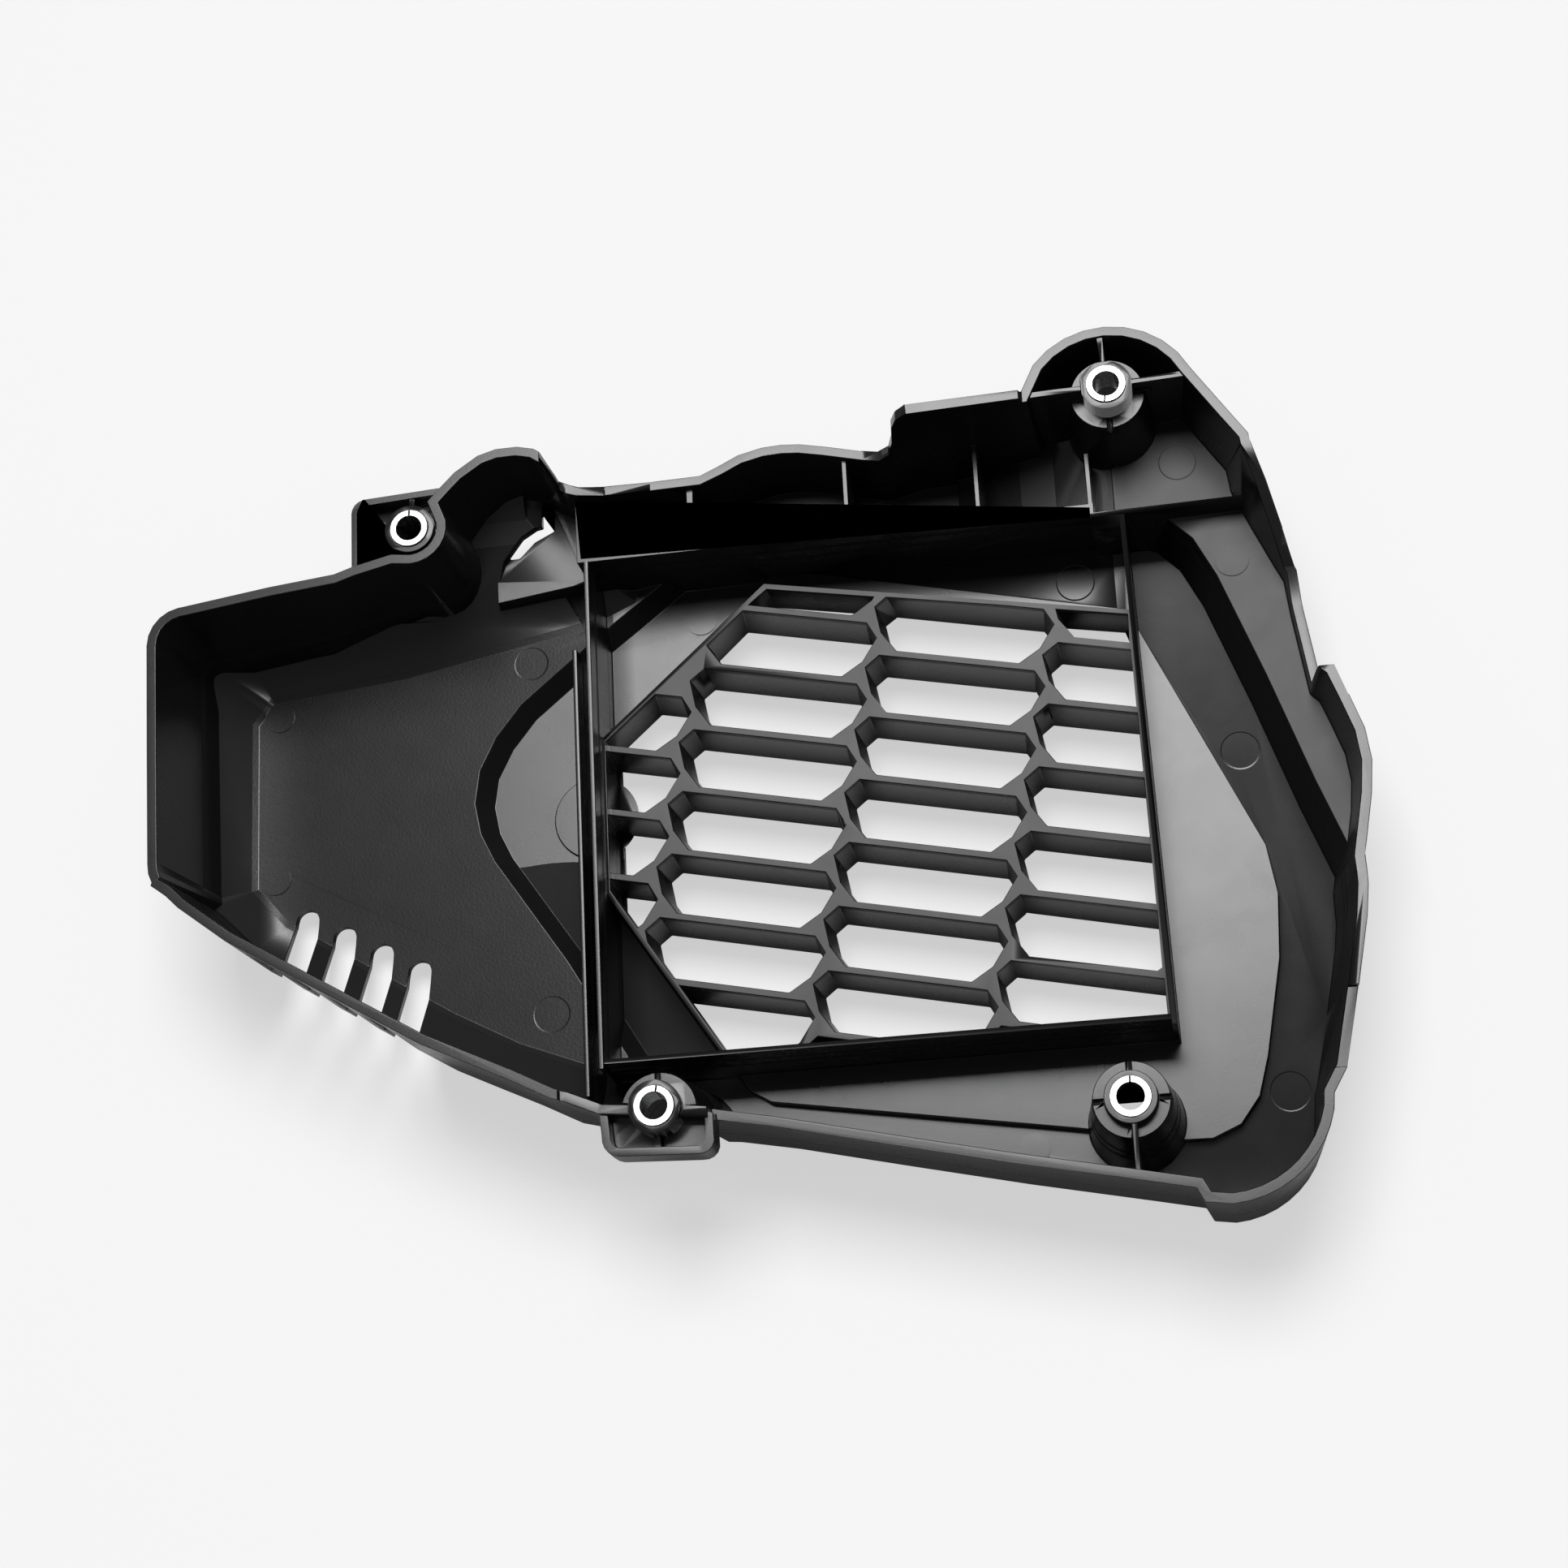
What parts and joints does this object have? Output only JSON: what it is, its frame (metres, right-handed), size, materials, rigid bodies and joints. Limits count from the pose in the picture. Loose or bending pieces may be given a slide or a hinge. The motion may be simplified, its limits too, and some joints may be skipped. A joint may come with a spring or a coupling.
{
  "type": "radiator guard",
  "caption": "Black moulded radiator guard for a scooter engine, with a honeycomb air grille, a ribbed air duct and steel collars for its bolts.",
  "frame": {"origin": "middle of the outer box of the whole part, on the surface that its outer face rests on", "axes": "+X along the long top rib of the air duct towards the wide end, +Z from the outer face towards the engine"},
  "size_m": [0.285, 0.207, 0.048],
  "materials": {
    "shell": "satin black injection-moulded polypropylene with a fine grain",
    "collar": "bright zinc plate on rolled steel"
  },
  "bodies": {
    "root": {"guard_shell": "shell", "collar_upper_left": "collar", "collar_upper_right": "collar", "collar_lower_left": "collar", "collar_lower_right": "collar"}
  },
  "joints": []
}
